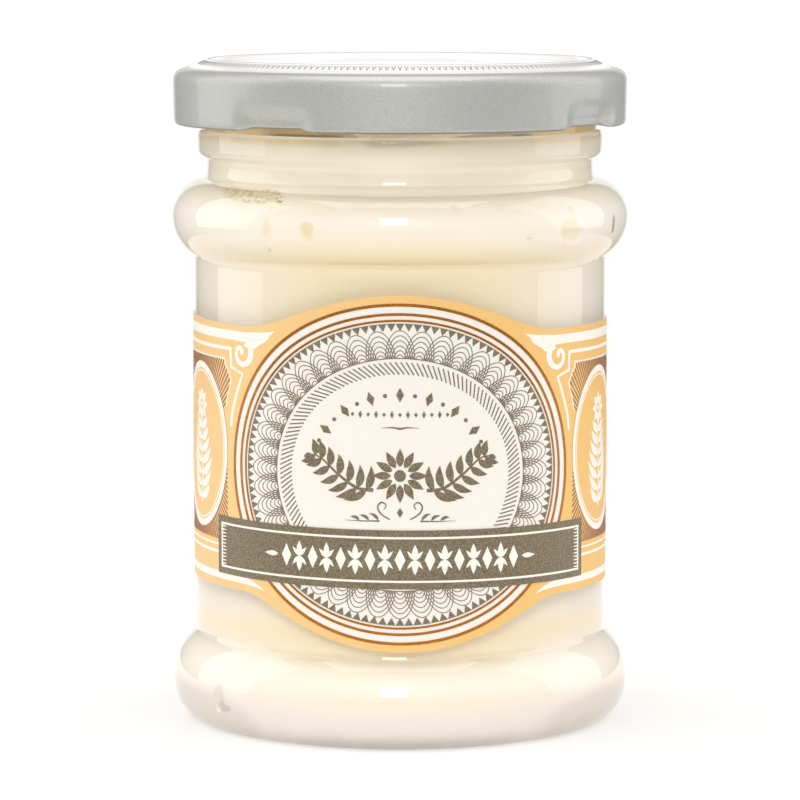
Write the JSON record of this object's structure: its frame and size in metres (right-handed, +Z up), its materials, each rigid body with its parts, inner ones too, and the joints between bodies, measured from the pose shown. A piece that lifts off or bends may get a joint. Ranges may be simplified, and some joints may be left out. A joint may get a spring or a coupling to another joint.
{
  "type": "mayonnaise jar",
  "caption": "Shut glass jar of mayonnaise with a round bulge above and below its straight body, a pressed silver twist-off lid and a wrapped paper label with an oval medallion.",
  "frame": {"origin": "centre of the foot, on the surface that the jar stands on", "axes": "+Z up along the jar's axis, -Y towards the label's medallion, +X to the viewer's right"},
  "size_m": [0.0744, 0.0744, 0.1076],
  "materials": {
    "clear_glass": "clear polished soda-lime glass",
    "mayonnaise": "thick pale cream emulsion, softly glossy where it meets the glass",
    "lid_lacquer": "warm silver metallic lacquer on pressed tinplate, white lacquer on the top",
    "label_paper": "coated label paper printed in peach, cream and taupe with copper foil rings"
  },
  "bodies": {
    "root": {"jar_glass": "clear_glass", "mayonnaise": "mayonnaise", "lid": "lid_lacquer", "label": "label_paper"}
  },
  "joints": []
}
